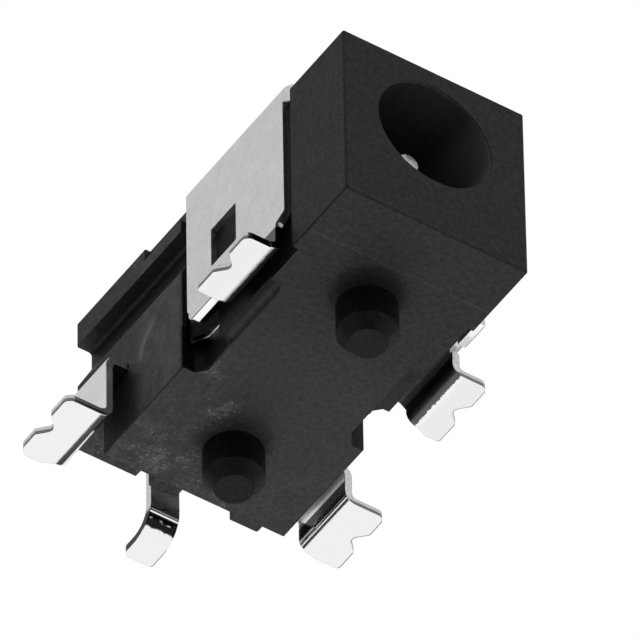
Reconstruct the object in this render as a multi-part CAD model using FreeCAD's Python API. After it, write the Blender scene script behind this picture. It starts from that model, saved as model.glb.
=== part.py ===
"""A surface-mount DC power jack: a black moulded housing with a plug socket and two
locating pegs, a turned centre pin with its rear solder tail, a stamped saddle clip over
the body, and two stamped contacts whose solder feet stand out at the rear corners.

Millimetres, +Z away from the board. Everything is drawn with y measured back from the
mating face, then moved so that the origin lies on the board, midway between the pegs.
"""
import FreeCAD, Part
import math
import os

from FreeCAD import Vector

# Housing block
HOUSING_WIDTH = 6.2
HOUSING_HEIGHT = 6.54
HOUSING_LENGTH = 13.95
SLAB_OVERHANG = 1.4
SLAB_HEIGHT = 1.38
EDGE_ROUND = 0.07

# Plug socket
BORE_DIAMETER = 3.8
REAR_BLOCK_LENGTH = 4.35
BORE_HEIGHT = 3.95
BORE_MOUTH_CHAMFER = 0.06

# Locating pegs
PEG_DIAMETER = 1.82
PEG_TIP_DIAMETER = 1.16
PEG_LENGTH = 1.5
PEG_TAPER = 0.43
FRONT_PEG_SETBACK = 3.6
PEG_SPACING = 6.9

# Side recess that the clip sits in
RECESS_DEPTH = 0.2
RECESS_FRONT = 2.76
RECESS_REAR = 8.43
CORNER_RELIEF_REAR = 10.35
CORNER_RELIEF_HEIGHT = 6.05

# Relief along each bottom edge
LEDGE_DEPTH = 0.12
LEDGE_INSET = 0.68
LEDGE_FRONT = 4.15
POCKET_DEPTH = 1.12
POCKET_INSET = 0.7
POCKET_LENGTH = 1.6
POCKET_CHAMFER = 0.3

# Long channel high on the left wall
CHANNEL_DEPTH = 0.52
CHANNEL_FRONT = 7.2
FLANGE_THICKNESS = 0.94
CHANNEL_FLAT = 0.64
CHANNEL_SLOPE_HEIGHT = 1.05
CHANNEL_FILLET = 0.12

# Notches and boss under the rear overhang
TAIL_BOSS_WIDTH = 0.92
TAIL_BOSS_OFFSET = -0.18
TAIL_BOSS_DROP = 0.12
TAIL_BOSS_LENGTH = 0.7
LEFT_NOTCH_WIDTH = 0.45
LEFT_NOTCH_RISE = 0.34
RIGHT_NOTCH_RISE = 0.42
RIGHT_NOTCH_SLOPE = 0.3
RIGHT_NOTCH_END = 2.15

# Sheet metal
SHEET = 0.25
BEND_INNER_RADIUS = 0.15
SLOT_CLEARANCE = 0.05
FOOT_WIDTH = 2.5
FOOT_CORNER = 0.24
FOOT_REAR_CORNER = 0.12
FOOT_SPREAD = 0.05
FOOT_NOTCH_DEPTH = 0.4
FOOT_NOTCH_WIDTH = 0.84
FOOT_NOTCH_ROUND = 0.2
FOOT_LOBE_ROUND = 0.07

# Saddle clip
CLIP_PLAY = 0.28
CLIP_FRONT = 3.1
CLIP_REAR = 8.09
CLIP_LIFT = 0.12
CLIP_BEND_INNER_RADIUS = 0.02
WEB_LEAD = 0.23
WEB_LEAD_DROP = 0.66
JOGGLE_OUT = 0.3
JOGGLE_TOP = 1.75
JOGGLE_BOTTOM = 1.05
BAND_BOTTOM = 0.87
BAND_CORNER_LENGTH = 0.64
BAND_CORNER_HEIGHT = 1.05
CLIP_FOOT_REACH = 0.98
LEFT_FOOT_SETBACK = 3.13
RIGHT_FOOT_SETBACK = 4.43
RIGHT_LEG_NIP = 0.12
RIGHT_LEG_FLARE = 0.57
RIGHT_CORNER_HEIGHT = 0.45
RELIEF_WIDTH = 0.3
RELIEF_HEIGHT = 0.15
RELIEF_DEPTH = 0.12
WINDOW_FRONT = 5.54
WINDOW_LENGTH = 1.31
WINDOW_BOTTOM = 2.7
WINDOW_HEIGHT = 1.56
WINDOW_ROUND = 0.08

# Rear contacts
LEFT_CONTACT_FROM_REAR = 2.69
LEFT_CONTACT_HEIGHT = 2.445
LEFT_LEG_GAP = 0.515
LEFT_BEND_INNER_RADIUS = 0.2
LEFT_FOOT_REACH = 1.305
LEFT_FOOT_SPREAD = 0.18
LEFT_TOE_CORNER = 0.33
RIGHT_CONTACT_FROM_REAR = 3.59
RIGHT_CONTACT_HEIGHT = 1.325
RIGHT_LEG_GAP = 0.64
RIGHT_FOOT_REACH = 1.14

# Spring leaf under the socket and the switch finger behind it
LEAF_WIDTH = 1.2
LEAF_SIDE_CLEARANCE = 0.12
LEAF_LIFT = 0.42
LEAF_PEAK_SETBACK = 5.2
LEAF_TIP_LENGTH = 0.9
LEAF_TIP_DROP = 0.4
FINGER_WIDTH = 0.7
FINGER_REACH = 0.55
FINGER_TIP_LENGTH = 0.45
CONTACT_AIR = 0.02
CHAMBER_CLEARANCE = 0.15

# Spring arm of the switch contact, whose lower edge shows in the left pocket
ARM_WALL_INSET = 0.355
ARM_POCKET_INSET = 0.62
ARM_BEND_LEAD = 0.08
ARM_BEND_RUN = 0.5
ARM_TIP_RUN = 0.7
ARM_BEND_RADIUS = 0.4
ARM_BOTTOM = 1.0

# Centre pin
PIN_DIAMETER = 1.3
PIN_TIP_DIAMETER = 0.62
PIN_TIP_SETBACK = 1.33
PIN_TIP_TAPER = 0.4
PIN_SHANK_DIAMETER = 1.9
PIN_NECK_DIAMETER = 0.9
PIN_HEAD_DIAMETER = 1.5
PIN_HEAD_HEIGHT = 0.22
PIN_FIT = 0.01

# Centre-pin solder tail
TAIL_WIDTH = 0.98
TAIL_OFFSET = 0.08
TAIL_PAD_DIAMETER = 1.9
TAIL_STAND_OFF = 0.23
TAIL_JOGGLE_TOP = 2.9
TAIL_JOGGLE_DROP = 0.4
TAIL_REACH = 1.73
TAIL_BEND_INNER_RADIUS = 0.7
TAIL_LEFT_CORNER = 0.22
TAIL_RIGHT_CORNER = 0.12

# Worked out from the driving sizes
HALF_WIDTH = HOUSING_WIDTH / 2
HALF_SHEET = SHEET / 2
BEND = BEND_INNER_RADIUS + HALF_SHEET
ORIGIN_SETBACK = FRONT_PEG_SETBACK + PEG_SPACING / 2
REAR_PEG_SETBACK = FRONT_PEG_SETBACK + PEG_SPACING
BORE_RADIUS = BORE_DIAMETER / 2
BORE_DEPTH = HOUSING_LENGTH - REAR_BLOCK_LENGTH
SLAB_LENGTH = HOUSING_LENGTH - SLAB_OVERHANG
LEFT_CONTACT_SETBACK = HOUSING_LENGTH - LEFT_CONTACT_FROM_REAR
RIGHT_CONTACT_SETBACK = HOUSING_LENGTH - RIGHT_CONTACT_FROM_REAR
TAIL_END_SETBACK = HOUSING_LENGTH + TAIL_REACH
RECESS_WALL = HALF_WIDTH - RECESS_DEPTH
CONTACT_WIDTH = FOOT_WIDTH - 2 * SLOT_CLEARANCE
BEYOND = HOUSING_WIDTH

PLANES = {
    "xy": (lambda u, v: Vector(u, v, 0), Vector(0, 0, 1)),
    "xz": (lambda u, v: Vector(u, 0, v), Vector(0, 1, 0)),
    "yz": (lambda u, v: Vector(0, u, v), Vector(1, 0, 0)),
}


def box(x0, x1, y0, y1, z0, z1):
    """A block between two corners."""
    return Part.makeBox(x1 - x0, y1 - y0, z1 - z0, Vector(x0, y0, z0))


def cylinder(radius, start, end, x, z):
    """A round bar along y."""
    return Part.makeCylinder(radius, end - start, Vector(x, start, z), Vector(0, 1, 0))


def unit(a, b):
    """The direction from one flat point to the next."""
    length = math.hypot(b[0] - a[0], b[1] - a[1])
    return (b[0] - a[0]) / length, (b[1] - a[1]) / length


def corner(before, point, after, radius):
    """The start, middle and end of the arc that rounds a corner, its centre and its turn."""
    into = unit(before, point)
    out = unit(point, after)
    cross = into[0] * out[1] - into[1] * out[0]
    dot = into[0] * out[0] + into[1] * out[1]
    turn = math.atan2(cross, dot)
    side = math.copysign(1, turn)
    run = radius * math.tan(abs(turn) / 2)
    start = (point[0] - into[0] * run, point[1] - into[1] * run)
    end = (point[0] + out[0] * run, point[1] + out[1] * run)
    centre = (start[0] - into[1] * radius * side, start[1] + into[0] * radius * side)
    return start, end, centre, side, into, out


def arc_middle(centre, point, radius):
    """The point of an arc that faces the corner which it rounds."""
    towards = unit(centre, point)
    return centre[0] + towards[0] * radius, centre[1] + towards[1] * radius


def prism(points, plane, low, high):
    """A closed outline of (u, v) or (u, v, corner radius) points, drawn out between two levels."""
    place, along = PLANES[plane]
    count = len(points)
    edges = []
    stops = []
    for index, point in enumerate(points):
        radius = point[2] if len(point) > 2 else 0
        if radius <= 0:
            stops.append((point, point, None))
            continue
        start, end, centre, side, into, out = corner(points[index - 1], point, points[(index + 1) % count], radius)
        stops.append((start, end, arc_middle(centre, point, radius)))
    for index, (start, end, middle) in enumerate(stops):
        if middle:
            edges.append(Part.Arc(place(*start[:2]), place(*middle), place(*end[:2])).toShape())
        following = stops[(index + 1) % count][0]
        edges.append(Part.LineSegment(place(*end[:2]), place(*following[:2])).toShape())
    face = Part.Face(Part.Wire(edges))
    face.translate(along * low)
    return face.extrude(along * (high - low))


def sheet(path, plane, low, high, thickness=SHEET):
    """Sheet metal bent along a centre line of (u, v) or (u, v, bend radius) points."""
    place, along = PLANES[plane]
    half = thickness / 2
    sides = []
    for side in (1, -1):
        first = unit(path[0], path[1])
        here = (path[0][0] - first[1] * side * half, path[0][1] + first[0] * side * half)
        edges = []
        for index in range(1, len(path) - 1):
            point = path[index]
            start, end, centre, turn, into, out = corner(path[index - 1], point, path[index + 1], point[2])
            radius = point[2] - turn * side * half
            arc_start = (start[0] - into[1] * side * half, start[1] + into[0] * side * half)
            arc_end = (end[0] - out[1] * side * half, end[1] + out[0] * side * half)
            middle = arc_middle(centre, point, radius)
            edges.append(Part.LineSegment(place(*here), place(*arc_start)).toShape())
            edges.append(Part.Arc(place(*arc_start), place(*middle), place(*arc_end)).toShape())
            here = arc_end
        last = unit(path[-2], path[-1])
        finish = (path[-1][0] - last[1] * side * half, path[-1][1] + last[0] * side * half)
        edges.append(Part.LineSegment(place(*here), place(*finish)).toShape())
        sides.append(edges)
    caps = []
    for end in (0, -1):
        ends = [edges[end].Vertexes[end].Point for edges in sides]
        caps.append(Part.LineSegment(ends[0], ends[1]).toShape())
    wire = Part.Wire(Part.__sortEdges__(sides[0] + sides[1] + caps))
    face = Part.Face(wire)
    face.translate(along * low)
    return face.extrude(along * (high - low))


def foot_trim(side, start, tip, front, heel, toe, toe_round, height):
    """What is cut from a plain solder foot: two rounded lobes with a notch between are left."""
    middle = (front + toe) / 2
    half = FOOT_NOTCH_WIDTH / 2
    outline = [
        (start, front),
        (tip, front, FOOT_CORNER),
        (tip, middle - half, FOOT_LOBE_ROUND),
        (tip - FOOT_NOTCH_DEPTH, middle, FOOT_NOTCH_ROUND),
        (tip, middle + half, FOOT_LOBE_ROUND),
        (tip, toe, toe_round),
        (start + 2 * (toe - heel), toe),
        (start, heel),
    ]
    outline = [(side * point[0],) + tuple(point[1:]) for point in outline]
    low, high = sorted((side * start, side * (tip + SHEET)))
    blank = box(low, high, front - SHEET, toe + SHEET, -SHEET, 2 * SHEET)
    low, high = sorted((side * start, -side * HALF_WIDTH))
    leg = box(low, high, heel, toe + SHEET, -SHEET, height)
    return [blank.cut(prism(outline, "xy", -2 * SHEET, 3 * SHEET)), leg]


def housing_block():
    """The body with its rear overhang, before any pocket is cut."""
    block = box(-HALF_WIDTH, HALF_WIDTH, 0, HOUSING_LENGTH, 0, HOUSING_HEIGHT)
    block = block.makeFillet(EDGE_ROUND, block.Edges)
    return block.cut(box(-BEYOND, BEYOND, SLAB_LENGTH, HOUSING_LENGTH + BEYOND, -BEYOND, SLAB_HEIGHT))


def rear_underside():
    """The notches cut up into the rear overhang, left and right of the tail."""
    boss_left = TAIL_BOSS_OFFSET - TAIL_BOSS_WIDTH / 2
    boss_right = TAIL_BOSS_OFFSET + TAIL_BOSS_WIDTH / 2
    low = SLAB_HEIGHT - BEYOND
    left_top = SLAB_HEIGHT + LEFT_NOTCH_RISE
    right_top = SLAB_HEIGHT + RIGHT_NOTCH_RISE
    left = [
        (boss_left, low),
        (boss_left, left_top),
        (boss_left - SHEET, left_top),
        (boss_left - LEFT_NOTCH_WIDTH, SLAB_HEIGHT),
        (boss_left - LEFT_NOTCH_WIDTH, low),
    ]
    right = [
        (boss_right, low),
        (boss_right, SLAB_HEIGHT),
        (boss_right + RIGHT_NOTCH_SLOPE, right_top),
        (RIGHT_NOTCH_END, right_top),
        (RIGHT_NOTCH_END, low),
    ]
    far = HOUSING_LENGTH + BEYOND
    return [prism(outline, "xz", SLAB_LENGTH, far) for outline in (left, right)]


def tail_boss():
    """The small block under the overhang, just in front of the solder tail."""
    left = TAIL_BOSS_OFFSET - TAIL_BOSS_WIDTH / 2
    front = HOUSING_LENGTH - TAIL_BOSS_LENGTH
    low = SLAB_HEIGHT - TAIL_BOSS_DROP
    return box(left, left + TAIL_BOSS_WIDTH, front, HOUSING_LENGTH, low, SLAB_HEIGHT + SHEET)


def side_reliefs(side):
    """The clip recess, and the ledge and pocket along one bottom edge."""
    def span(inner):
        return sorted((side * inner, side * BEYOND))
    low, high = span(RECESS_WALL)
    top = HOUSING_HEIGHT + BEYOND
    recess = box(low, high, RECESS_FRONT, RECESS_REAR, -BEYOND, top)
    relief = box(low, high, RECESS_REAR - RECESS_DEPTH, CORNER_RELIEF_REAR, CORNER_RELIEF_HEIGHT, top)
    ledge_wall = HALF_WIDTH - LEDGE_INSET
    pocket_wall = HALF_WIDTH - POCKET_INSET
    pocket_front = RECESS_REAR - POCKET_LENGTH
    ledge_end = pocket_front + POCKET_CHAMFER
    round_end = LEDGE_INSET / 2
    ledge = [
        (side * BEYOND, LEDGE_FRONT),
        (side * ledge_wall, LEDGE_FRONT, round_end),
        (side * ledge_wall, ledge_end),
        (side * BEYOND, ledge_end),
    ]
    pocket = [
        (side * BEYOND, pocket_front),
        (side * (pocket_wall + POCKET_CHAMFER), pocket_front),
        (side * pocket_wall, pocket_front + POCKET_CHAMFER),
        (side * pocket_wall, RECESS_REAR - POCKET_CHAMFER),
        (side * (pocket_wall + POCKET_CHAMFER), RECESS_REAR),
        (side * BEYOND, RECESS_REAR),
    ]
    return [recess, relief, prism(ledge, "xy", -BEYOND, LEDGE_DEPTH), prism(pocket, "xy", -BEYOND, POCKET_DEPTH)]


def left_channel():
    """The long channel under the top flange of the left wall, open at the rear."""
    top = HOUSING_HEIGHT - FLANGE_THICKNESS
    floor = -(HALF_WIDTH - CHANNEL_DEPTH)
    shoulder = top - CHANNEL_FLAT
    outline = [
        (-BEYOND, top),
        (floor, top, CHANNEL_FILLET),
        (floor, shoulder, CHANNEL_FILLET),
        (-HALF_WIDTH, shoulder - CHANNEL_SLOPE_HEIGHT),
        (-BEYOND, shoulder - CHANNEL_SLOPE_HEIGHT),
    ]
    return prism(outline, "xz", CHANNEL_FRONT, HOUSING_LENGTH + BEYOND)


def arm_path():
    """The centre line, seen from above, of the spring arm on edge behind the left wall."""
    wall = -HALF_WIDTH + ARM_WALL_INSET
    pocket = -HALF_WIDTH + ARM_POCKET_INSET
    bend = RECESS_REAR - ARM_BEND_LEAD
    return [
        (wall, LEFT_CONTACT_SETBACK + SHEET),
        (wall, bend, ARM_BEND_RADIUS),
        (pocket, bend - ARM_BEND_RUN, ARM_BEND_RADIUS),
        (pocket, bend - ARM_BEND_RUN - ARM_TIP_RUN),
    ]


def contact_cavities():
    """The slots that the two rear contacts lie in, the leaf's trough and the switch chamber."""
    left_floor = LEFT_CONTACT_HEIGHT - HALF_SHEET
    left_slot = box(-BEYOND, FINGER_WIDTH / 2 + SLOT_CLEARANCE, LEFT_CONTACT_SETBACK - SLOT_CLEARANCE,
                    LEFT_CONTACT_SETBACK + CONTACT_WIDTH + SLOT_CLEARANCE, left_floor, left_floor + SHEET)
    right_floor = RIGHT_CONTACT_HEIGHT - HALF_SHEET
    right_slot = box(-LEAF_WIDTH / 2 - SLOT_CLEARANCE, BEYOND, RIGHT_CONTACT_SETBACK - SLOT_CLEARANCE,
                     RIGHT_CONTACT_SETBACK + CONTACT_WIDTH + SLOT_CLEARANCE, right_floor, right_floor + SHEET)
    trough_half = LEAF_WIDTH / 2 + LEAF_SIDE_CLEARANCE
    trough_front = LEAF_PEAK_SETBACK - LEAF_TIP_LENGTH - LEAF_SIDE_CLEARANCE
    trough = box(-trough_half, trough_half, trough_front, BORE_DEPTH, right_floor, BORE_HEIGHT - PIN_DIAMETER)
    tunnel = box(-trough_half, trough_half, BORE_DEPTH, RIGHT_CONTACT_SETBACK, right_floor, right_floor + SHEET)
    chamber_half = FINGER_WIDTH / 2 + CHAMBER_CLEARANCE
    chamber_front = LEFT_CONTACT_SETBACK - FINGER_REACH - FINGER_TIP_LENGTH - CHAMBER_CLEARANCE
    chamber = box(-chamber_half, chamber_half, chamber_front, LEFT_CONTACT_SETBACK,
                  RIGHT_CONTACT_HEIGHT, LEFT_CONTACT_HEIGHT + HALF_SHEET)
    channel = arm_path()
    channel[-1] = (channel[-1][0], channel[-1][1] - SLOT_CLEARANCE)
    arm = sheet(channel, "xy", ARM_BOTTOM, LEFT_CONTACT_HEIGHT + HALF_SHEET, SHEET + 2 * SLOT_CLEARANCE)
    return [left_slot, right_slot, trough, tunnel, chamber, arm]


def peg(setback):
    """A round locating peg with a tapered tip."""
    radius = PEG_DIAMETER / 2
    straight = PEG_LENGTH - PEG_TAPER
    shaft = Part.makeCylinder(radius, straight + POCKET_DEPTH / 2, Vector(0, setback, -straight))
    tip = Part.makeCone(PEG_TIP_DIAMETER / 2, radius, PEG_TAPER, Vector(0, setback, -PEG_LENGTH))
    return shaft.fuse(tip)


def housing():
    """The one-piece moulding."""
    body = housing_block()
    body = body.cut(rear_underside())
    body = body.fuse(tail_boss())
    cuts = side_reliefs(-1) + side_reliefs(1) + [left_channel()] + contact_cavities()
    cuts.append(cylinder(BORE_RADIUS, -BEYOND, BORE_DEPTH, 0, BORE_HEIGHT))
    mouth = BORE_RADIUS + BORE_MOUTH_CHAMFER
    cuts.append(Part.makeCone(mouth, BORE_RADIUS, BORE_MOUTH_CHAMFER, Vector(0, 0, BORE_HEIGHT), Vector(0, 1, 0)))
    cuts.append(cylinder(PIN_SHANK_DIAMETER / 2 + PIN_FIT, BORE_DEPTH, HOUSING_LENGTH + BEYOND, 0, BORE_HEIGHT))
    body = body.cut(cuts)
    return body.fuse([peg(FRONT_PEG_SETBACK), peg(REAR_PEG_SETBACK)]).removeSplitter()


def centre_pin():
    """The turned pin: tapered tip, shank held in the rear wall, and a neck riveted over the tail."""
    head_start = HOUSING_LENGTH + SHEET
    profile = [
        (0, PIN_TIP_SETBACK),
        (PIN_TIP_DIAMETER / 2, PIN_TIP_SETBACK),
        (PIN_DIAMETER / 2, PIN_TIP_SETBACK + PIN_TIP_TAPER),
        (PIN_DIAMETER / 2, BORE_DEPTH),
        (PIN_SHANK_DIAMETER / 2, BORE_DEPTH),
        (PIN_SHANK_DIAMETER / 2, HOUSING_LENGTH),
        (PIN_NECK_DIAMETER / 2, HOUSING_LENGTH),
        (PIN_NECK_DIAMETER / 2, head_start),
        (PIN_HEAD_DIAMETER / 2, head_start),
        (PIN_NECK_DIAMETER / 2, head_start + PIN_HEAD_HEIGHT),
        (0, head_start + PIN_HEAD_HEIGHT),
    ]
    points = [Vector(radius, y, BORE_HEIGHT) for radius, y in profile]
    face = Part.Face(Part.makePolygon(points + points[:1]))
    return face.revolve(Vector(0, 0, BORE_HEIGHT), Vector(0, 1, 0), 360)


def centre_pin_terminal():
    """The tail: a round pad riveted to the pin, a strip that stands off the rear face and a solder foot."""
    level = HOUSING_LENGTH + HALF_SHEET
    clear = level + TAIL_STAND_OFF
    left = TAIL_OFFSET - TAIL_WIDTH / 2
    right = TAIL_OFFSET + TAIL_WIDTH / 2
    path = [
        (level, BORE_HEIGHT),
        (level, TAIL_JOGGLE_TOP, BEND),
        (clear, TAIL_JOGGLE_TOP - TAIL_JOGGLE_DROP, BEND),
        (clear, HALF_SHEET, TAIL_BEND_INNER_RADIUS + HALF_SHEET),
        (TAIL_END_SETBACK, HALF_SHEET),
    ]
    strip = sheet(path, "yz", left, right)
    tip = [
        (left, HOUSING_LENGTH),
        (left, TAIL_END_SETBACK, TAIL_LEFT_CORNER),
        (right, TAIL_END_SETBACK, TAIL_RIGHT_CORNER),
        (right, HOUSING_LENGTH),
    ]
    strip = strip.common(prism(tip, "xy", -SHEET, HOUSING_HEIGHT))
    pad = cylinder(TAIL_PAD_DIAMETER / 2, HOUSING_LENGTH, HOUSING_LENGTH + SHEET, 0, BORE_HEIGHT)
    hole = cylinder(PIN_NECK_DIAMETER / 2, 0, TAIL_END_SETBACK, 0, BORE_HEIGHT)
    return strip.fuse(pad).cut(hole).removeSplitter()


def clip_outline(side):
    """The side view of one plate of the clip with its leg, as (setback, height) points."""
    top = HOUSING_HEIGHT + BEYOND
    if side < 0:
        leg_rear = LEFT_FOOT_SETBACK + FOOT_WIDTH
        return [
            (CLIP_FRONT, top),
            (CLIP_FRONT, -SHEET),
            (leg_rear + FOOT_SPREAD, -SHEET),
            (leg_rear + FOOT_SPREAD, 2 * SHEET),
            (leg_rear, 2 * SHEET),
            (leg_rear, BAND_BOTTOM, BEND_INNER_RADIUS),
            (CLIP_REAR - BAND_CORNER_LENGTH, BAND_BOTTOM, BEND_INNER_RADIUS),
            (CLIP_REAR, BAND_BOTTOM + BAND_CORNER_HEIGHT),
            (CLIP_REAR, top),
        ]
    leg_rear = RIGHT_FOOT_SETBACK + FOOT_WIDTH
    relief_front = RIGHT_FOOT_SETBACK - RELIEF_WIDTH
    relief_top = BAND_BOTTOM + RELIEF_HEIGHT
    return [
        (CLIP_FRONT, top),
        (CLIP_FRONT, BAND_BOTTOM),
        (relief_front, BAND_BOTTOM),
        (relief_front, relief_top),
        (RIGHT_FOOT_SETBACK + RELIEF_DEPTH, relief_top),
        (RIGHT_FOOT_SETBACK + RELIEF_DEPTH, BAND_BOTTOM),
        (RIGHT_FOOT_SETBACK, BAND_BOTTOM),
        (RIGHT_FOOT_SETBACK, -SHEET),
        (leg_rear + FOOT_SPREAD, -SHEET),
        (leg_rear + FOOT_SPREAD, 2 * SHEET),
        (leg_rear - RIGHT_LEG_NIP, 2 * SHEET),
        (leg_rear + RIGHT_LEG_FLARE, JOGGLE_TOP),
        (CLIP_REAR, JOGGLE_TOP + RIGHT_CORNER_HEIGHT),
        (CLIP_REAR, top),
    ]


def saddle_clip():
    """One stamping: a web over the body, a windowed plate down each side, and a foot on each."""
    left_plate = -RECESS_WALL - HALF_SHEET
    right_plate = RECESS_WALL + CLIP_PLAY + HALF_SHEET
    web = HOUSING_HEIGHT + CLIP_LIFT + HALF_SHEET
    crown_bend = CLIP_BEND_INNER_RADIUS + HALF_SHEET
    left_leg = left_plate - JOGGLE_OUT
    right_leg = right_plate + JOGGLE_OUT
    left_tip = -left_leg + HALF_SHEET + CLIP_FOOT_REACH
    right_tip = right_leg + HALF_SHEET + CLIP_FOOT_REACH
    path = [
        (-left_tip, HALF_SHEET),
        (left_leg, HALF_SHEET, BEND),
        (left_leg, JOGGLE_BOTTOM, BEND),
        (left_plate, JOGGLE_TOP, BEND),
        (left_plate, web, crown_bend),
        (right_plate, web, crown_bend),
        (right_plate, JOGGLE_TOP, BEND),
        (right_leg, JOGGLE_BOTTOM, BEND),
        (right_leg, HALF_SHEET, BEND),
        (right_tip, HALF_SHEET),
    ]
    web_front = CLIP_FRONT - WEB_LEAD
    shape = sheet(path, "xz", web_front, CLIP_REAR)
    left = prism(clip_outline(-1), "yz", -BEYOND, 0)
    right = prism(clip_outline(1), "yz", 0, BEYOND)
    crown = [
        (left_plate - HALF_SHEET, CLIP_FRONT),
        (left_plate + HALF_SHEET, web_front),
        (right_plate - HALF_SHEET, web_front),
        (right_plate + HALF_SHEET, CLIP_FRONT),
        (right_plate + HALF_SHEET, CLIP_REAR),
        (left_plate - HALF_SHEET, CLIP_REAR),
    ]
    crown = prism(crown, "xy", web + HALF_SHEET - WEB_LEAD_DROP, web + SHEET)
    shape = shape.common(left.fuse([right, crown]))
    window = [
        (WINDOW_FRONT, WINDOW_BOTTOM, WINDOW_ROUND),
        (WINDOW_FRONT + WINDOW_LENGTH, WINDOW_BOTTOM, WINDOW_ROUND),
        (WINDOW_FRONT + WINDOW_LENGTH, WINDOW_BOTTOM + WINDOW_HEIGHT, WINDOW_ROUND),
        (WINDOW_FRONT, WINDOW_BOTTOM + WINDOW_HEIGHT, WINDOW_ROUND),
    ]
    cuts = [
        prism(window, "yz", -BEYOND, BEYOND),
    ]
    low = 2 * SHEET
    rear = LEFT_FOOT_SETBACK + FOOT_WIDTH
    cuts += foot_trim(
        -1, BEND - left_leg, left_tip, LEFT_FOOT_SETBACK, rear, rear + FOOT_SPREAD, FOOT_REAR_CORNER, low
    )
    rear = RIGHT_FOOT_SETBACK + FOOT_WIDTH
    cuts += foot_trim(
        1, BEND + right_leg, right_tip, RIGHT_FOOT_SETBACK, rear - RIGHT_LEG_NIP, rear + FOOT_SPREAD,
        FOOT_REAR_CORNER, low
    )
    return shape.cut(cuts).removeSplitter()


def sleeve_contact():
    """The right rear contact: foot, leg and base, with a spring leaf that rises into the socket."""
    leg = HALF_WIDTH + RIGHT_LEG_GAP + HALF_SHEET
    tip = leg + HALF_SHEET + RIGHT_FOOT_REACH
    half = LEAF_WIDTH / 2
    rear = RIGHT_CONTACT_SETBACK + CONTACT_WIDTH
    path = [
        (tip, HALF_SHEET),
        (leg, HALF_SHEET, BEND),
        (leg, RIGHT_CONTACT_HEIGHT, BEND),
        (-half, RIGHT_CONTACT_HEIGHT),
    ]
    toe = rear + FOOT_SPREAD
    base = sheet(path, "xz", RIGHT_CONTACT_SETBACK, toe)
    base = base.cut(foot_trim(
        1, leg + BEND, tip, RIGHT_CONTACT_SETBACK, rear, toe, FOOT_REAR_CORNER, HOUSING_HEIGHT
    ))
    peak = BORE_HEIGHT - BORE_RADIUS + LEAF_LIFT - HALF_SHEET
    leaf_path = [
        (RIGHT_CONTACT_SETBACK + SHEET, RIGHT_CONTACT_HEIGHT),
        (BORE_DEPTH - SHEET, RIGHT_CONTACT_HEIGHT, PIN_DIAMETER),
        (LEAF_PEAK_SETBACK, peak, PIN_DIAMETER),
        (LEAF_PEAK_SETBACK - LEAF_TIP_LENGTH, peak - LEAF_TIP_DROP),
    ]
    return base.fuse(sheet(leaf_path, "yz", -half, half)).removeSplitter()


def switch_contact():
    """The left rear contact: foot, leg and base, a finger over the sleeve contact, and a spring arm."""
    leg = -(HALF_WIDTH + LEFT_LEG_GAP + HALF_SHEET)
    tip = -leg + HALF_SHEET + LEFT_FOOT_REACH
    foot_bend = LEFT_BEND_INNER_RADIUS + HALF_SHEET
    half = FINGER_WIDTH / 2
    rear = LEFT_CONTACT_SETBACK + CONTACT_WIDTH
    path = [
        (-tip, HALF_SHEET),
        (leg, HALF_SHEET, foot_bend),
        (leg, LEFT_CONTACT_HEIGHT, BEND),
        (half, LEFT_CONTACT_HEIGHT),
    ]
    toe = rear + LEFT_FOOT_SPREAD
    base = sheet(path, "xz", LEFT_CONTACT_SETBACK, toe)
    base = base.cut(foot_trim(
        -1, foot_bend - leg, tip, LEFT_CONTACT_SETBACK, rear, toe, LEFT_TOE_CORNER, HOUSING_HEIGHT
    ))
    knee = LEFT_CONTACT_SETBACK - FINGER_REACH
    low = RIGHT_CONTACT_HEIGHT + SHEET + CONTACT_AIR
    finger_path = [
        (LEFT_CONTACT_SETBACK + SHEET, LEFT_CONTACT_HEIGHT),
        (knee + BEND, LEFT_CONTACT_HEIGHT, BEND),
        (knee, low, BEND_INNER_RADIUS),
        (knee - FINGER_TIP_LENGTH, low + SHEET),
    ]
    arm = sheet(arm_path(), "xy", ARM_BOTTOM, LEFT_CONTACT_HEIGHT)
    return base.fuse([sheet(finger_path, "yz", -half, half), arm]).removeSplitter()


PIECES = {
    "housing": housing,
    "centre_pin": centre_pin,
    "centre_pin_terminal": centre_pin_terminal,
    "saddle_clip": saddle_clip,
    "sleeve_contact": sleeve_contact,
    "switch_contact": switch_contact,
}

os.makedirs("parts", exist_ok=True)
for node, make in PIECES.items():
    shape = make()
    shape.translate(Vector(0, -ORIGIN_SETBACK, 0))
    print(node, len(shape.Solids), "solid", round(shape.Volume, 4), "mm3", "valid" if shape.isValid() else "INVALID")
    shape.exportStep("parts/" + node + ".step")
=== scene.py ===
"""Looks of a small surface-mount power jack, seen from below its front left corner.

Lengths and places are millimetres in the part's own frame; Blender works in metres.
"""

import math

import bpy
from mathutils import Euler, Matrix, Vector
from mathutils.bvhtree import BVHTree


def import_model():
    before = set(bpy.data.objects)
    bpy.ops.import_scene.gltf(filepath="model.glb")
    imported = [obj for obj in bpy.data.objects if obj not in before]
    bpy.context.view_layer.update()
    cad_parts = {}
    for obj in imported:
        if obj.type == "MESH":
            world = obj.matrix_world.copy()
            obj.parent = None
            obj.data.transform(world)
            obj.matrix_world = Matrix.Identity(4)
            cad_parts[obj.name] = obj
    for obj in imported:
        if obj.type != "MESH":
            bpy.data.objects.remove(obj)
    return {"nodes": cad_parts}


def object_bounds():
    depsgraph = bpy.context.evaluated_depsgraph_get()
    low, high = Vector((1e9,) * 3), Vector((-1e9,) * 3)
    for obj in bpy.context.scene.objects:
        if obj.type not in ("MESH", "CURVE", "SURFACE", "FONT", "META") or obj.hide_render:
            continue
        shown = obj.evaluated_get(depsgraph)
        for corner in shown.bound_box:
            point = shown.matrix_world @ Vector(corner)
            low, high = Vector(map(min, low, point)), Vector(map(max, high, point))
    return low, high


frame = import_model()
cad_low, cad_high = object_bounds()

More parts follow.
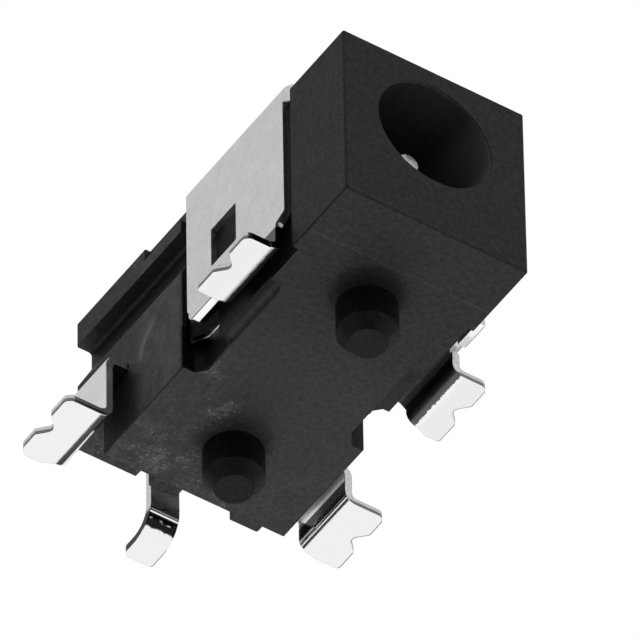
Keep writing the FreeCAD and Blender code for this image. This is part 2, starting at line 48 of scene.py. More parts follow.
MM = 0.001

# Camera, where the photograph was taken from
AIM = (0.622, -0.151, 2.681)
CAMERA_DISTANCE = 523.57
CAMERA_AZIMUTH = -34.2945
CAMERA_ELEVATION = -45.8983
CAMERA_ROLL = -1.0516
LENS = 1028.45
SENSOR = 36
CLIP_RATIO = 10

# Sheet metal, and how far under a face the search for the sheet's other side starts
SHEET = 0.25
SHEET_SLACK = 0.03
SKIN = 0.002

# Floor, soft light and sun
FLOOR_SIDE = 400
AMBIENT = 0.8
LIGHT_FROM = (0.39, 0.575, -0.72)
LIGHT_LEAN = 1.1
SUN_AZIMUTH = -50
SUN_ELEVATION = 55
SUN_STRENGTH = 1.5
SUN_SPREAD = 50

# Cards that only reflections show: name, direction from the object, height, width and grey
CARD_DISTANCE = 300
CARDS = (
    ("card_table", (0, 0, 1), 1400, 1400, 0.7),
    ("card_camera", (-0.52, -0.76, -0.39), 340, 340, 0.02),
    ("card_left", (-0.81, 0.575, -0.1), 300, 160, 0.03),
    ("card_right", (0.765, 0.574, -0.292), 240, 170, 0.05),
)

# Greys, as linear colour
PLASTIC_GREY = 0.002
DUST_GREY = 0.12
# Mould line and scratch, and the painted highlight on the left wall
STREAK_AND_HIGHLIGHT_GREY = 0.08
CLIP_GREY = 0.82
TIN_GREY = 0.86
EDGE_GREY = 0.75
# Dark specks on the sheet, and the darker band low on the feet's edges, which is partly painted shade
TORN_AND_SHADE_GREY = 0.2
# Painted shade on the metal
SHADE_GREY = 0.014
# Painted light inside the socket
BORE_PAINTED_LIGHT_GREY = 0.08
# Painted light on the left wall and on the step under it
WALL_PAINTED_LIGHT_GREY = 0.03
# The pin's grey, also used for the painted highlight on sheared edges that face down
PIN_AND_EDGE_HIGHLIGHT_GREY = 0.97
FLOOR_GREY = 0.86

# Radius at which sharp edges shade as rounded
SHEET_SOFT = 0.05
PLASTIC_SOFT = 0.03
BEVEL_SAMPLES = 8

# Noises: waves per millimetre, octaves and roughness
PLASTIC_GRAIN = (14, 3, 0.6)
PLASTIC_CLOUD = (0.8, 3, 0.55)
SHEEN_NOISE = (6, 4, 0.7)
SPECK_NOISE = (11, 3, 0.7)
HAZE_NOISE = (5, 4, 0.75)
PATCH_NOISE = (1.3, 3)
LINE_NOISE = (2.5,)
WALL_NOISE = (2.2, 4, 0.6)
SHEET_CLOUD = (1.3, 4, 0.6)
SHEET_GRAIN = (30, 2)
SHEET_SPECKS = (9, 4, 0.7)
MARK_NOISE = (3.2,)
BEND_NOISE = (9, 3)
TAIL_NOISE = (6, 3)
GLINT_NOISE = (4.5,)
EDGE_NOISE = (12, 2)
PIN_NOISE = (6,)

# Ramps, from here on: where a step starts, where it ends and, if not 0 and 1, what it gives there.
# Ranges that end in a single small number have soft ends of that width.
NOISE_RAMP = (0.3, 0.7)
FACES_DOWN = (0.9, 0.95)
FACES_LEFT = (0.6, 0.9)

# The plastic's grain and clouds, as shares of its grey
GRAIN_DARK = 0.7
GRAIN_LIGHT = 1.3
CLOUD_LIGHT = 1.7
CLOUD_RAMP = (0.35, 0.65, 0.0, 0.35)
GRAIN_ROUGH = (0.5, 0.6)
GRAIN_DEPTH = 0.008

# How strongly the plastic reflects, and the share of that left in each place where shade and dark
# reflections are painted
SHEEN_SIDES = 0.265
SHEEN_UNDER = 0.365
SHEEN_PEGS = 0.45
SHEEN_TIPS = 0.75
SHEEN_WINDOW = 0.4
SHEEN_POCKET = 0.35
SHEEN_LEDGE = 0.35
SHEEN_RIGHT = 0.7
SHEEN_FRONT_WALL = 0.8
SHEEN_HALO = 0.58
SHEEN_GRAIN = (0.74, 1.26)
PEG_ROOT_Z = (-0.02, -0.08)
PEG_TIP_Z = (-1.4, -1.45)
WINDOW_X = (-2.7, -2.8)
WINDOW_Y = (-1.6, -0.1)
WINDOW_Z = (2.6, 4.4)
POCKET_X = (-2.3, -2.35)
POCKET_Y = (-0.25, 1.45)
LEDGE_X = (-2.5, -2.85)
LEDGE_Y = (-2.95, 1.45, 0.3)
LEDGE_Z = (0.03, 1.7)
RIGHT_LEDGE_X = (2.4, 2.5)
RIGHT_LEDGE_Y = (-2.0, 1.0)
RIGHT_LEDGE_Z = (0.05, 0.2)
LEFT_WALL_X = (-2.4, -2.5)
FRONT_WALL_Y = (-2.9, -3.1)

# The painted dark reflection round each peg, a little off its axis
PEG_YS = (-3.45, 3.45)
HALO_SHIFT = (-0.25, -0.4)
HALO_REACH = (1.4, 0.85)

# The socket's inside, painted lighter, more so towards its right side
BORE_CENTRE = (0.0, 3.95)
BORE_RIM = (1.95, 1.93)
BORE_Y = (-7.0, 2.6)
BORE_SHADE_X = (1.1, 1.8, 0.14, 0.6)

# The mould line, the scratch on the front face and a painted curved highlight on the left wall
MOULD_LINE_Y = -5.13
MOULD_LINE_HALF = 0.05
LINE_RAMP = (0.35, 0.6, 0.02, 0.15)
SCRATCH_SUM = 2.44
SCRATCH_HALF = 0.03
SCRATCH_X = (1.84, 2.1)
SCRATCH_Y = (-7.03, -7.04)
SCRATCH_STRENGTH = 0.5
WALL_HIGHLIGHT_CENTRE = (2.5, 2.15)
WALL_HIGHLIGHT_RADIUS = 0.97
WALL_HIGHLIGHT_INNER = (-0.05, 0.02)
WALL_HIGHLIGHT_OUTER = (0.4, 0.03)
WALL_HIGHLIGHT_X = (-3.03, -3.05)
WALL_HIGHLIGHT_Y = (2.6, 3.1)
WALL_HIGHLIGHT_Z = (1.95, 2.4)
WALL_HIGHLIGHT_STRENGTH = 0.8

# Painted light on the rear part of the left wall, held back where a shadow is painted near the rear leg, and
# on the step under it
REAR_WALL_X = (-3.0, -3.05)
REAR_WALL_Y = (1.45, 1.55)
REAR_WALL_SHADOW_Y = (4.1, 3.3, 0.15, 1.0)
WALL_RAMP = (0.3, 0.7, 0.2, 1.0)
STEP_X = (-2.5, -2.3)
STEP_Z = (-0.01, 0.12, 0.01)

# Dust on the underside; each spot has its x, y and reach
UNDERSIDE_LOW_Z = (-0.3, -0.1)
UNDERSIDE_HIGH_Z = (2.5, 1.5)
SPECK_RAMP = (0.56, 0.68, 0.0, 1.6)
HAZE_RAMP = (0.35, 0.75, 0.0, 0.4)
PATCH_RAMP = (0.4, 0.58)
DUST_X = (1.6, -1.2, 0.25, 1.0)
DUST_Y = (0.5, 4.5)
DUST_REAR = 0.45
DUST_SPOTS = ((-1.4, 2.2, 0.9), (-1.5, 4.8, 1.3), (-2.3, 0.8, 0.8), (0.9, 5.6, 1.0))
DUST_CORE = 0.1
DUST_STRENGTH = 1.3
FILM_Y = (-3.0, 0.5, 0.0, 0.06)

# Painted shade on the clip's bends, the front of its left foot, and its left plate's lower rim
RAGGED = 0.1
BEND_OUTWARD = (0.3, 0.1)
BEND_UPWARD = (-0.5, -0.3)
BEND_DOWNWARD = (0.925, 0.9)
BEND_Z = (0.75, 0.6)
BEND_STRENGTH = 0.9
FOOT_FRONT_X = (-3.2, -3.3)
FOOT_FRONT_Y = (-3.2, -3.3)
FOOT_FRONT_Z = (0.95, 0.85)
RIM_X = (-3.0, -3.1)
RIM_Y = (-1.75, -1.65)
RIM_Z = (0.86, 0.92, 0.02)

# Painted shade on the front edge of the left foot's leg, and a painted glint at its joggle
LEG_EDGE_X = (-3.0, -3.1)
LEG_EDGE_Y = (-3.85, -3.9)
LEG_EDGE_Z = (-0.1, 0.95)
JOGGLE_GLINT = (-3.25, -3.95, 1.09)
JOGGLE_GLINT_RADIUS = 0.12

# Painted shade: the tail's dark band, the glints left in it, and its edge
BAND_LOW_Z = (0.27, 0.31)
BAND_HIGH_Z = (0.56, 0.52)
BAND_FACING = (0.3, 0.5)
GLINT_Z = 0.45
GLINT_HALF = 0.06
GLINT_RAMP = (0.5, 0.56)
TAIL_EDGE_Z = (0.8, 0.6)
TAIL_EDGE_FACING = (0.5, 0.7)

# Painted shade on the right rear leg's inner face, and on the left rear contact's strip and spring arm
LEG_Z = (0.37, 0.8, 0.03)
STRIP_Z = (1.5, 1.6)
ARM_X = (-3.05, -2.95)
ARM_Y = (0.6, 0.95)
ARM_Z = (2.4, 2.3)

# Plated sheet: roughness, mottle and tin; raised marks as height, half width, rise and how broken
CLIP_ROUGH = 0.3
TIN_ROUGH = 0.13
ROUGH_SPREAD = 0.03
CLIP_MOTTLE = 0.04
TIN_MOTTLE = 0.02
SPECK_RANGE = (0.35, 0.7)
SPECK_SHARE = 3
TINNED_Z = (0.34, 0.27)
DULL_Z = (0.8, 1.2, 0.0, 0.3)
TAIL_MARKS = ((0.68, 0.1, 0.6, 0.2),)
LEG_MARKS = ((0.2, 0.05, 1.0, 0.2),)
# Painted light on the tail's upper part, made less metallic so it shows paler
TAIL_PAINTED_LIGHT_Z = (0.95, 1.5, 0.0, 0.2)
MARK_RAMP_END = 0.5
SHEET_GRAIN_RISE = 0.02
SHEET_DEPTH = 0.05

# Sheared edges
EDGE_DARK = 0.85
EDGE_LIGHT = 1.1
TORN_RAGGED = -0.06
# The darker band low on the feet's edges: partly torn metal, partly painted shade
TORN_AND_SHADE_Z = (0.12, 0.08)
# A painted highlight on sheared edges that face down, above the feet
EDGE_HIGHLIGHT_Z = (0.5, 0.6)
EDGE_ROUGH = 0.24
EDGE_DEPTH = 0.002

# The turned pin
RING_WAVES = 90.0
RING_DEPTH = 0.0005
PIN_ROUGH = (0.14, 0.24)


def mm(*values):
    """A point or a length in millimetres, as metres."""
    return Vector(values) * MM if len(values) > 1 else values[0] * MM


def grey(level):
    """An opaque neutral colour."""
    return (level, level, level, 1)


class Nodes:
    """A material's node tree, with one short call for each kind of node."""

    def __init__(self, name):
        self.material = bpy.data.materials.new(name)
        self.material.use_nodes = True
        self.tree = self.material.node_tree
        self.tree.nodes.clear()
        self.output = self.tree.nodes.new("ShaderNodeOutputMaterial")
        self.place = self.add("ShaderNodeMapping", Vector=self.add("ShaderNodeTexCoord").outputs["Object"])
        self.place.inputs["Scale"].default_value = (1 / MM, 1 / MM, 1 / MM)

    def put(self, socket, value):
        """Links an output to a socket, or sets the socket."""
        if isinstance(value, bpy.types.NodeSocket):
            self.tree.links.new(value, socket)
        elif isinstance(value, bpy.types.Node):
            self.tree.links.new(value.outputs[0], socket)
        else:
            socket.default_value = value

    def add(self, kind, settings=(), **inputs):
        """A node with its settings and its inputs, named with _ for each space."""
        node = self.tree.nodes.new(kind)
        for key, value in dict(settings).items():
            setattr(node, key, value)
        for key, value in inputs.items():
            self.put(node.inputs[key.replace("_", " ")], value)
        return node

    def math(self, operation, a, b=0.0):
        """One sum on one or two numbers."""
        node = self.add("ShaderNodeMath", {"operation": operation})
        self.put(node.inputs[0], a)
        self.put(node.inputs[1], b)
        return node.outputs[0]

    def spread(self, value, low, high, to_low=0.0, to_high=1.0):
        """A smooth step from to_low to to_high as the value goes from low to high."""
        node = self.add("ShaderNodeMapRange", {"interpolation_type": "SMOOTHSTEP"})
        names = ("Value", "From Min", "From Max", "To Min", "To Max")
        for name, number in zip(names, (value, low, high, to_low, to_high)):
            self.put(node.inputs[name], number)
        return node.outputs["Result"]

    def noise(self, scale, detail=2.0, rough=0.5):
        """Cloudy noise with its scale in waves per millimetre."""
        node = self.add("ShaderNodeTexNoise", Vector=self.place, Scale=scale, Detail=detail, Roughness=rough)
        return node.outputs["Fac"]

    def axes(self):
        """The place on the surface in millimetres, as x, y and z."""
        return self.add("ShaderNodeSeparateXYZ", Vector=self.place).outputs

    def mix(self, factor, a, b):
        """A blend of two colours."""
        node = self.add("ShaderNodeMix", {"data_type": "RGBA"})
        self.put(node.inputs["Factor"], factor)
        self.put(node.inputs[6], a)
        self.put(node.inputs[7], b)
        return node.outputs[2]

    def bump(self, height, depth, radius):
        """A surface normal with rounded edges, raised by a height map of a full depth."""
        soft = self.add("ShaderNodeBevel", {"samples": BEVEL_SAMPLES}, Radius=mm(radius))
        return self.add("ShaderNodeBump", Height=height, Distance=mm(depth), Normal=soft)

    def times(self, *factors):
        """The product of several factors."""
        result = factors[0]
        for factor in factors[1:]:
            result = self.math("MULTIPLY", result, factor)
        return result

    def band(self, value, middle, half):
        """One near the middle value, fading to nought half a width away."""
        away = self.math("ABSOLUTE", self.math("SUBTRACT", value, middle))
        return self.spread(away, half, half / 3)

    def facing(self, axis, sign=-1.0):
        """How far the surface faces down an axis, 0 to 2 for x, y and z, or up it where the sign is 1."""
        normal = self.add("ShaderNodeTexCoord").outputs["Normal"]
        part = self.add("ShaderNodeSeparateXYZ", Vector=normal).outputs[axis]
        return self.math("MULTIPLY", part, sign)

    def down(self):
        """One on surfaces that face the board."""
        return self.spread(self.facing(2), *FACES_DOWN)

    def left(self):
        """One on surfaces that face left."""
        return self.spread(self.facing(0), *FACES_LEFT)

    def within(self, value, low, high, soft=0.04):
        """One between two values, with soft ends."""
        start = self.spread(value, low - soft, low + soft)
        return self.times(start, self.spread(value, high + soft, high - soft))

    def other(self, mask):
        """The rest of a mask."""
        return self.math("SUBTRACT", 1.0, mask)

    def keep(self, share, *masks):
        """A share where all the masks are one, and one elsewhere."""
        return self.spread(self.times(*masks), 0.0, 1.0, 1.0, share)

    def away(self, a, b, centre):
        """The distance of two coordinates from a centre."""
        across = self.math("SUBTRACT", a, centre[0])
        along = self.math("SUBTRACT", b, centre[1])
        return self.math("SQRT", self.math("ADD", self.times(across, across), self.times(along, along)))

    def sheen(self, x, y, z, down):
        """How strongly the plastic reflects, turned down by place as painted shade: most underneath and
        least in the pockets and on the pegs.
        """
        level = self.spread(down, 0.0, 1.0, SHEEN_SIDES, SHEEN_UNDER)
        for share, *masks in (
            (SHEEN_PEGS, self.spread(z, *PEG_ROOT_Z), self.other(down)),
            (SHEEN_TIPS, self.spread(z, *PEG_TIP_Z), down),
            (SHEEN_WINDOW, self.within(y, *WINDOW_Y), self.within(z, *WINDOW_Z), self.spread(x, *WINDOW_X)),
            (SHEEN_POCKET, self.within(y, *POCKET_Y), self.within(z, *LEDGE_Z), self.spread(x, *POCKET_X)),
            (SHEEN_LEDGE, self.within(y, *LEDGE_Y), self.within(z, *LEDGE_Z), self.spread(x, *LEDGE_X)),
            (
                SHEEN_RIGHT, self.within(y, *RIGHT_LEDGE_Y), self.within(z, *RIGHT_LEDGE_Z),
                self.spread(x, *RIGHT_LEDGE_X),
            ),
            (SHEEN_FRONT_WALL, self.left(), self.spread(x, *LEFT_WALL_X), self.spread(y, *FRONT_WALL_Y)),
        ):
            level = self.times(level, self.keep(share, *masks))
        for peg_y in PEG_YS:
            out = self.away(x, y, (HALO_SHIFT[0], peg_y + HALO_SHIFT[1]))
            level = self.times(level, self.keep(SHEEN_HALO, self.spread(out, *HALO_REACH), down))
        return self.times(level, self.spread(self.noise(*SHEEN_NOISE), *NOISE_RAMP, *SHEEN_GRAIN))

    def bore(self, x, y, z):
        """One inside the socket."""
        return self.times(self.spread(self.away(x, z, BORE_CENTRE), *BORE_RIM), self.within(y, *BORE_Y))

    def wall_highlight(self, x, y, z):
        """A painted curved highlight on the left wall."""
        out = self.math("SUBTRACT", self.away(y, z, WALL_HIGHLIGHT_CENTRE), WALL_HIGHLIGHT_RADIUS)
        fade = self.times(self.spread(out, *WALL_HIGHLIGHT_INNER), self.spread(out, *WALL_HIGHLIGHT_OUTER))
        place = self.times(self.spread(y, *WALL_HIGHLIGHT_Y), self.spread(z, *WALL_HIGHLIGHT_Z), self.spread(x, *WALL_HIGHLIGHT_X))
        return self.times(fade, place, WALL_HIGHLIGHT_STRENGTH)

    def dust(self, x, y, down):
        """Fine pale dust, thickest round the rear peg and towards the left rear."""
        specks = self.spread(self.noise(*SPECK_NOISE), *SPECK_RAMP)
        haze = self.spread(self.noise(*HAZE_NOISE), *HAZE_RAMP)
        patches = self.spread(self.noise(*PATCH_NOISE), *PATCH_RAMP)
        near = self.times(self.spread(y, *DUST_Y), self.spread(x, *DUST_X), DUST_REAR)
        for x0, y0, reach in DUST_SPOTS:
            near = self.math("MAXIMUM", near, self.spread(self.away(x, y, (x0, y0)), reach, DUST_CORE))
        marks = self.times(self.math("MAXIMUM", specks, haze), patches, near, DUST_STRENGTH)
        return self.times(self.math("ADD", marks, self.spread(y, *FILM_Y)), down)

    def finish(self, shader):
        """Joins the shader to the output and hands back the material."""
        self.put(self.output.inputs["Surface"], shader)
        return self.material


def plastic():
    """Black moulded plastic: a fine spark-eroded grain, a mould line, a scratch, pale dust, and painted
    light and shade.
    """
    n = Nodes("black_plastic")
    x, y, z = n.axes()
    down = n.down()
    left = n.left()
    grain = n.noise(*PLASTIC_GRAIN)
    cloud = n.spread(n.noise(*PLASTIC_CLOUD), *CLOUD_RAMP)
    breaks = n.spread(n.noise(*LINE_NOISE), *LINE_RAMP)
    line = n.times(n.band(y, MOULD_LINE_Y, MOULD_LINE_HALF), down, breaks)
    slant = n.band(n.math("ADD", z, x), SCRATCH_SUM, SCRATCH_HALF)
    scratch = n.times(slant, n.within(x, *SCRATCH_X), n.spread(y, *SCRATCH_Y), SCRATCH_STRENGTH)
    underside = n.times(down, n.spread(z, *UNDERSIDE_LOW_Z), n.spread(z, *UNDERSIDE_HIGH_Z))
    # Painted light inside the socket, stronger towards its right side
    socket = n.times(n.bore(x, y, z), n.spread(x, *BORE_SHADE_X))
    # Painted light on the rear of the left wall, with a painted shadow near the rear leg
    rear_wall_light = n.times(
        left, n.spread(y, *REAR_WALL_Y), n.spread(x, *REAR_WALL_X), n.spread(y, *REAR_WALL_SHADOW_Y),
        n.spread(n.noise(*WALL_NOISE), *WALL_RAMP),
    )
    # Painted light on the step, covering the shade line at its foot
    step = n.times(left, n.within(x, *STEP_X), n.within(z, *STEP_Z))
    base = n.mix(
        n.spread(grain, *NOISE_RAMP), grey(PLASTIC_GREY * GRAIN_DARK), grey(PLASTIC_GREY * GRAIN_LIGHT)
    )
    for mask, level in (
        (cloud, PLASTIC_GREY * CLOUD_LIGHT), (line, STREAK_AND_HIGHLIGHT_GREY), (scratch, STREAK_AND_HIGHLIGHT_GREY),
        (n.dust(x, y, underside), DUST_GREY), (socket, BORE_PAINTED_LIGHT_GREY), (rear_wall_light, WALL_PAINTED_LIGHT_GREY),
        (n.wall_highlight(x, y, z), STREAK_AND_HIGHLIGHT_GREY), (step, WALL_PAINTED_LIGHT_GREY),
    ):
        base = n.mix(mask, base, grey(level))
    shader = n.add(
        "ShaderNodeBsdfPrincipled", Base_Color=base, Roughness=n.spread(grain, *NOISE_RAMP, *GRAIN_ROUGH),
        Specular_IOR_Level=n.sheen(x, y, z, down), Normal=n.bump(grain, GRAIN_DEPTH, PLASTIC_SOFT),
    )
    return n.finish(shader)


def clip_shade(n):
    """Painted shade on the clip: the tight bends above its feet, with a ragged rim, the plate's lower rim,
    and the front of the left foot and leg on every side but the underside."""
    x, y, z = n.axes()
    ragged = n.math("SUBTRACT", n.facing(2), n.math("MULTIPLY", n.noise(*BEND_NOISE), RAGGED))
    inward = n.times(
        n.spread(n.times(x, n.facing(0, 1.0)), *BEND_OUTWARD), n.spread(n.facing(2), *BEND_UPWARD)
    )
    bends = n.times(n.spread(ragged, *BEND_DOWNWARD), n.spread(z, *BEND_Z), inward)
    front = n.times(
        n.spread(y, *FOOT_FRONT_Y), n.spread(z, *FOOT_FRONT_Z), n.spread(x, *FOOT_FRONT_X), n.other(n.down())
    )
    rim = n.times(n.within(z, *RIM_Z), n.spread(y, *RIM_Y), n.spread(x, *RIM_X))
    return n.math("MAXIMUM", n.times(n.math("MAXIMUM", bends, front), BEND_STRENGTH), rim)


def clip_edge_shade(n):
    """Painted shade on the front edge of the left foot's leg, below the painted glint at the joggle."""
    x, y, z = n.axes()
    return n.times(n.spread(x, *LEG_EDGE_X), n.spread(y, *LEG_EDGE_Y), n.within(z, *LEG_EDGE_Z))


def tail_shade(n):
    """A band of painted shade across the tail's bend, with a ragged rim and a row of glints left out of it.
    """
    z = n.axes()[2]
    ragged = n.math("ADD", z, n.math("MULTIPLY", n.noise(*TAIL_NOISE), RAGGED))
    glints = n.times(n.band(z, GLINT_Z, GLINT_HALF), n.spread(n.noise(*GLINT_NOISE), *GLINT_RAMP))
    front = n.spread(n.math("ADD", n.facing(1), n.facing(2)), *BAND_FACING)
    return n.times(n.spread(ragged, *BAND_LOW_Z), n.spread(z, *BAND_HIGH_Z), n.other(glints), front)


def tail_edge_shade(n):
    """Painted shade on the tail's sheared edge, below its straight part."""
    return n.times(n.spread(n.axes()[2], *TAIL_EDGE_Z), n.spread(n.facing(0), *TAIL_EDGE_FACING))


def leg_shade(n):
    """Painted shade on the inner face of the right rear leg, between its light upper rim and the bend."""
    return n.times(n.left(), n.within(n.axes()[2], *LEG_Z))


def arm_shade(n):
    """Painted shade on the left rear contact's strip under the wall, and on its spring arm but for a short
    glint.
    """
    x, y, z = n.axes()
    strip = n.times(n.down(), n.spread(z, *STRIP_Z))
    arm = n.times(n.spread(x, *ARM_X), n.spread(y, *ARM_Y), n.spread(z, *ARM_Z))
    return n.math("MAXIMUM", strip, arm)


def plate(name, level, rough, mottle, marks=(), shade=None, haze=None):
    """Matt plated sheet with a faint mottle, tinned bright on the solder feet.

    Each mark is a raised line that the bending tool left. The shade is a function that masks the parts
    painted in shade, and the haze is a ramp in z along which the sheet turns dull and less metallic,
    painting it lighter.
    """
    n = Nodes(name)
    z = n.axes()[2]
    relief = 0.0
    for height, half, rise, broken in marks:
        breaks = n.spread(n.noise(*MARK_NOISE), MARK_RAMP_END * broken, MARK_RAMP_END, 1 - broken, 1.0)
        relief = n.math("ADD", n.times(n.band(z, height, half), breaks, rise), relief)
    cloud = n.noise(*SHEET_CLOUD)
    lightest = min(1, level * (1 + mottle))
    base = n.mix(n.spread(cloud, *NOISE_RAMP), grey(level * (1 - mottle)), grey(lightest))
    specks = n.spread(n.noise(*SHEET_SPECKS), *SPECK_RANGE, 0.0, mottle * SPECK_SHARE)
    base = n.mix(specks, base, grey(TORN_AND_SHADE_GREY))
    base = n.mix(n.spread(z, *TINNED_Z), base, grey(TIN_GREY))
    if shade:
        base = n.mix(shade(n), base, grey(SHADE_GREY))
    clouded = n.spread(cloud, *NOISE_RAMP, rough - ROUGH_SPREAD, rough + ROUGH_SPREAD)
    grain = n.math("MULTIPLY", n.noise(*SHEET_GRAIN), SHEET_GRAIN_RISE)
    shader = n.add(
        "ShaderNodeBsdfPrincipled", Base_Color=base,
        Roughness=n.math("ADD", clouded, n.spread(z, *DULL_Z)),
        Metallic=n.other(n.spread(z, *haze)) if haze else 1.0,
        Normal=n.bump(n.math("ADD", grain, relief), SHEET_DEPTH, SHEET_SOFT),
    )
    return n.finish(shader)


def cut_edge(name, shade=None):
    """The sheared edge of the sheet: duller, with a darker band low on the feet that is partly torn metal
    and partly painted shade.
    """
    n = Nodes(name)
    z = n.axes()[2]
    streak = n.noise(*EDGE_NOISE)
    base = n.mix(n.spread(streak, *NOISE_RAMP), grey(EDGE_GREY * EDGE_DARK), grey(EDGE_GREY * EDGE_LIGHT))
    # The darker band low on the edge: partly the torn zone, partly painted shade
    torn = n.math("ADD", z, n.math("MULTIPLY", streak, TORN_RAGGED))
    base = n.mix(n.spread(torn, *TORN_AND_SHADE_Z), base, grey(TORN_AND_SHADE_GREY))
    # A painted highlight on sheared edges that face down, above the feet
    base = n.mix(n.times(n.down(), n.spread(z, *EDGE_HIGHLIGHT_Z)), base, grey(PIN_AND_EDGE_HIGHLIGHT_GREY))
    if shade:
        base = n.mix(shade(n), base, grey(SHADE_GREY))
    # A painted glint: a white, non-metallic spot at the clip's joggle
    away = n.add("ShaderNodeVectorMath", {"operation": "DISTANCE"}, Vector=n.place)
    away.inputs[1].default_value = JOGGLE_GLINT
    painted_glint = n.spread(away.outputs["Value"], JOGGLE_GLINT_RADIUS, JOGGLE_GLINT_RADIUS / 2)
    base = n.mix(painted_glint, base, grey(1))
    shader = n.add(
        "ShaderNodeBsdfPrincipled", Base_Color=base, Roughness=EDGE_ROUGH, Metallic=n.other(painted_glint),
        Normal=n.bump(streak, EDGE_DEPTH, SHEET_SOFT),
    )
    return n.finish(shader)


def turned():
    """Bright nickel with faint turning rings."""
    n = Nodes("turned_nickel")
    rings = n.math("SINE", n.math("MULTIPLY", n.axes()[1], RING_WAVES))
    shader = n.add(
        "ShaderNodeBsdfPrincipled", Base_Color=grey(PIN_AND_EDGE_HIGHLIGHT_GREY), Metallic=1.0,
        Roughness=n.spread(n.noise(*PIN_NOISE), *NOISE_RAMP, *PIN_ROUGH),
        Normal=n.bump(rings, RING_DEPTH, PLASTIC_SOFT),
    )
    return n.finish(shader)


def dress(name, *materials):
    """Gives a CAD node its materials."""
    node = frame["nodes"][name]
    node.data.materials.clear()
    for material in materials:
        node.data.materials.append(material)
    return node


def mark_cut_edges(node):
    """Gives the sheared faces of a sheet part, behind which it isn't one sheet deep, its second material."""
    mesh = node.data
    tree = BVHTree.FromPolygons([v.co for v in mesh.vertices], [p.vertices for p in mesh.polygons])
    skin = mm(SKIN)
    for face in mesh.polygons:
        start = face.center - face.normal * skin
        hit = tree.ray_cast(start, -face.normal)
        depth = (hit[3] or 0) + skin
        face.material_index = int(abs(depth - mm(SHEET)) > mm(SHEET_SLACK))


def floor():
    """A pale floor under the pegs, clear when looked at from below."""
    bpy.ops.mesh.primitive_plane_add(size=mm(FLOOR_SIDE), location=(0, 0, cad_low.z))
    plane = bpy.context.object
    plane.name = "floor"
    n = Nodes("floor")
    above = n.other(n.add("ShaderNodeNewGeometry").outputs["Backfacing"])
    seen = n.add("ShaderNodeLightPath").outputs["Is Camera Ray"]
    shader = n.add("ShaderNodeMixShader")
    n.put(shader.inputs[0], n.times(seen, above))
    n.put(shader.inputs[1], n.add("ShaderNodeBsdfTransparent"))
    n.put(shader.inputs[2], n.add("ShaderNodeBsdfDiffuse", Color=grey(FLOOR_GREY)))
    plane.data.materials.append(n.finish(shader))


def cards():
    """One pale and three dark cards that reflections alone show, and that give the metal its dark lines."""
    for name, direction, height, width, level in CARDS:
        place = Vector(direction).normalized()
        bpy.ops.mesh.primitive_plane_add(size=1, location=place * mm(CARD_DISTANCE))
        card = bpy.context.object
        card.name = name
        card.scale = (mm(width), mm(height), 1)
        card.rotation_mode = "QUATERNION"
        card.rotation_quaternion = place.to_track_quat("Z", "Y")
        card.visible_camera = False
        card.visible_diffuse = False
        card.visible_transmission = False
        card.visible_shadow = False
        n = Nodes(name)
        card.data.materials.append(n.finish(n.add("ShaderNodeEmission", Color=grey(level))))


def world():
    """Soft light, strongest from below, behind and the right, and plain white to the camera and in
    reflections."""
    scene_world = bpy.data.worlds.new("studio")
    bpy.context.scene.world = scene_world
    scene_world.use_nodes = True
    tree = scene_world.node_tree
    tree.nodes.clear()

    def add(kind, *values, **settings):
        node = tree.nodes.new(kind)
        for key, value in settings.items():
            setattr(node, key, value)
        for socket, value in zip(node.inputs, values):
            if isinstance(value, bpy.types.NodeSocket):
                tree.links.new(value, socket)
            else:
                socket.default_value = value
        return node

    path = add("ShaderNodeLightPath").outputs
    shown = path["Is Camera Ray"]
    for name in ("Is Glossy Ray", "Is Transmission Ray"):
        shown = add("ShaderNodeMath", shown, path[name], operation="MAXIMUM").outputs[0]
    direction = add("ShaderNodeTexCoord").outputs["Generated"]
    lean = add("ShaderNodeVectorMath", direction, LIGHT_FROM, operation="DOT_PRODUCT").outputs["Value"]
    soft = add("ShaderNodeMath", lean, AMBIENT * LIGHT_LEAN, AMBIENT, operation="MULTIPLY_ADD").outputs[0]
    soft = add("ShaderNodeMath", soft, 0.0, operation="MAXIMUM").outputs[0]
    strength = add("ShaderNodeMapRange", shown, 0.0, 1.0, soft, 1.0).outputs[0]
    light = add("ShaderNodeBackground", grey(1), strength)
    tree.links.new(light.outputs[0], add("ShaderNodeOutputWorld").inputs["Surface"])


def towards(azimuth, elevation):
    """The direction from the object towards a viewer or a lamp."""
    a = math.radians(azimuth)
    e = math.radians(elevation)
    return Vector((math.sin(a) * math.cos(e), -math.cos(a) * math.cos(e), math.sin(e)))


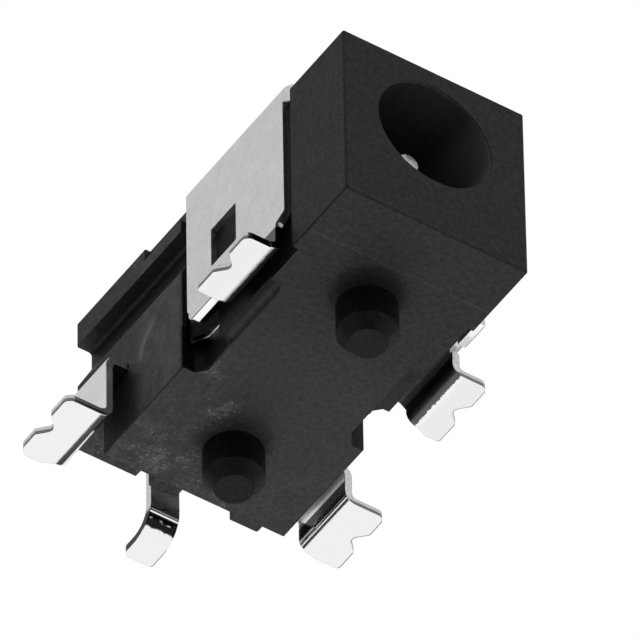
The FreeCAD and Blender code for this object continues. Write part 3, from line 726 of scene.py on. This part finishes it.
def sun():
    """A broad soft lamp, above the left front, that leaves no glint."""
    lamp = bpy.data.lights.new("key", "SUN")
    lamp.energy = SUN_STRENGTH
    lamp.angle = math.radians(SUN_SPREAD)
    holder = bpy.data.objects.new("key", lamp)
    holder.rotation_mode = "QUATERNION"
    holder.rotation_quaternion = towards(SUN_AZIMUTH, SUN_ELEVATION).to_track_quat("Z", "Y")
    holder.visible_glossy = False
    bpy.context.collection.objects.link(holder)


def camera():
    """The photograph's camera: a long lens, below and in front of the left side."""
    lens = bpy.data.cameras.new("camera")
    lens.lens = LENS
    lens.sensor_width = SENSOR
    lens.clip_start = mm(CAMERA_DISTANCE) / CLIP_RATIO
    lens.clip_end = mm(CAMERA_DISTANCE) * CLIP_RATIO
    back = towards(CAMERA_AZIMUTH, CAMERA_ELEVATION)
    holder = bpy.data.objects.new("camera", lens)
    holder.rotation_mode = "QUATERNION"
    roll = Euler((0, 0, math.radians(CAMERA_ROLL))).to_quaternion()
    holder.rotation_quaternion = back.to_track_quat("Z", "Y") @ roll
    holder.location = mm(*AIM) + back * mm(CAMERA_DISTANCE)
    bpy.context.collection.objects.link(holder)
    bpy.context.scene.camera = holder


def main():
    """Dresses every piece, then sets the stage."""
    tin = (TIN_GREY, TIN_ROUGH, TIN_MOTTLE)
    dress("housing", plastic())
    dress("centre_pin", turned())
    for name, sheet, sheared in (
        (
            "saddle_clip", plate("clip_plate", CLIP_GREY, CLIP_ROUGH, CLIP_MOTTLE, shade=clip_shade),
            cut_edge("clip_edge", clip_edge_shade),
        ),
        (
            "centre_pin_terminal", plate("tail_plate", *tin, TAIL_MARKS, tail_shade, TAIL_PAINTED_LIGHT_Z),
            cut_edge("tail_edge", tail_edge_shade),
        ),
        ("sleeve_contact", plate("sleeve_plate", *tin, LEG_MARKS, leg_shade), cut_edge("cut_edge")),
        (
            "switch_contact", plate("contact_plate", *tin, shade=arm_shade),
            cut_edge("switch_edge", arm_shade),
        ),
    ):
        mark_cut_edges(dress(name, sheet, sheared))
    floor()
    cards()
    world()
    sun()
    camera()
    bpy.context.scene.view_settings.view_transform = "Standard"


main()
